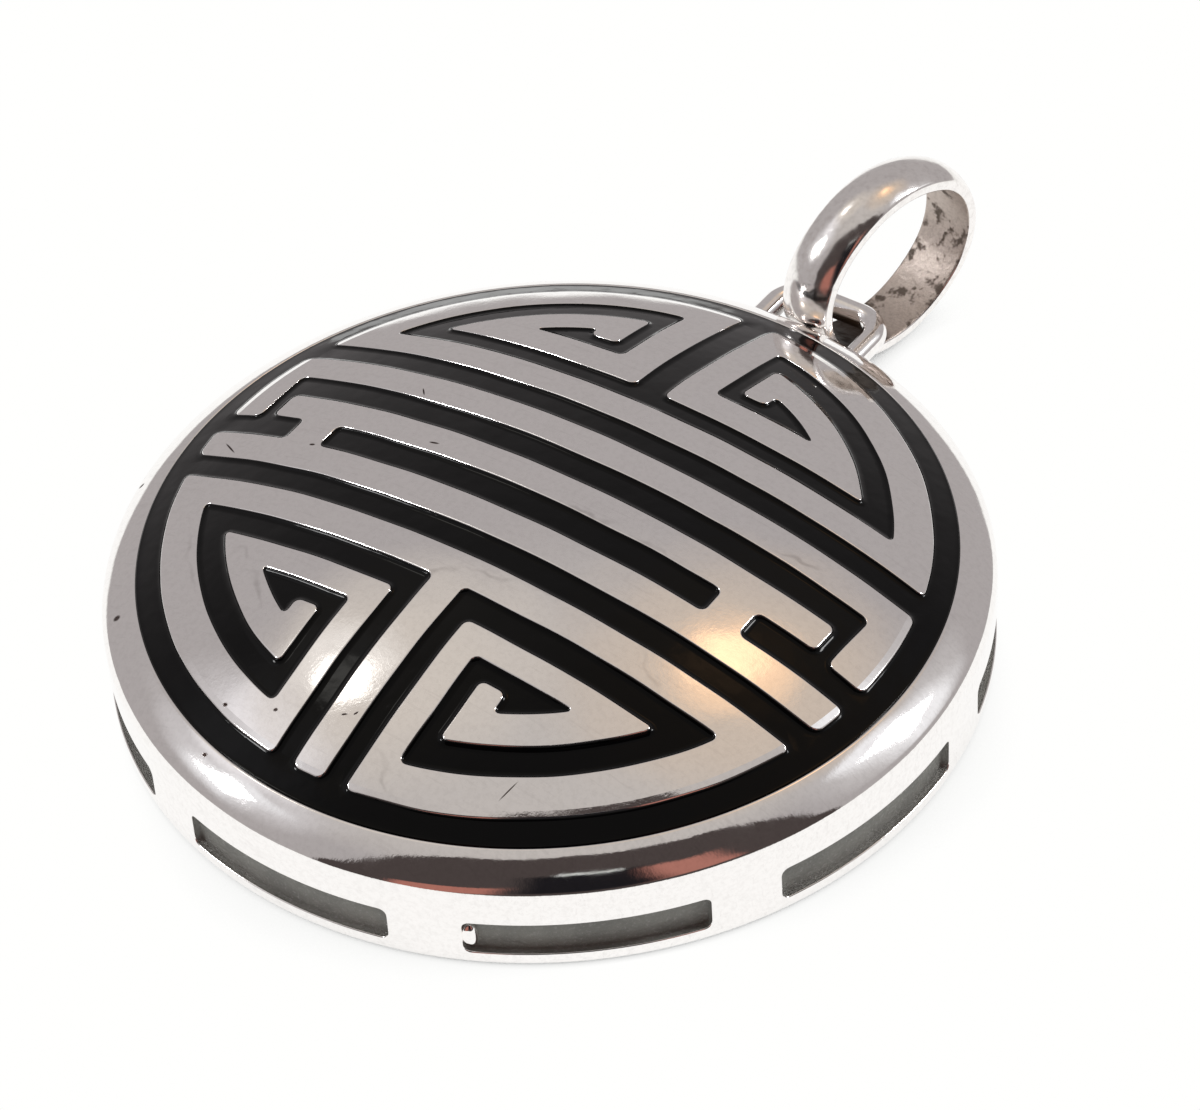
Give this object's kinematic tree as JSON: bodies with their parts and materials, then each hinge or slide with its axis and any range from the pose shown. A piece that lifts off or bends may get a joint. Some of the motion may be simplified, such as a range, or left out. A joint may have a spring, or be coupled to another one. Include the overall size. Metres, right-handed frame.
{
  "type": "yijing amulet pendant",
  "caption": "Round domed silver pendant with a raised fret in black enamel, long recesses round its side band, and a loose oval bail in a soldered eyelet.",
  "frame": {"origin": "centre of the flat back, on the medallion's axis", "axes": "+Z out of the domed front, +Y towards the bail, +X along the bars of the fret"},
  "size_m": [0.032, 0.041, 0.0076],
  "materials": {
    "silver": "worn polished cast silver, oxidised dark in the side recesses",
    "black_enamel": "glossy black enamel"
  },
  "bodies": {
    "medallion": {"case": "silver", "enamel_field": "black_enamel", "enamel_slot": "black_enamel"},
    "bail_ring": {"bail": "silver"}
  },
  "joints": [
    {"name": "bail_swing", "type": "hinge", "parent": "medallion", "child": "bail_ring", "pos_m": [0.0007, 0.01903, 0.00212], "axis": [0.986, -0.1668, 0], "range_deg": [-100, 2]}
  ]
}
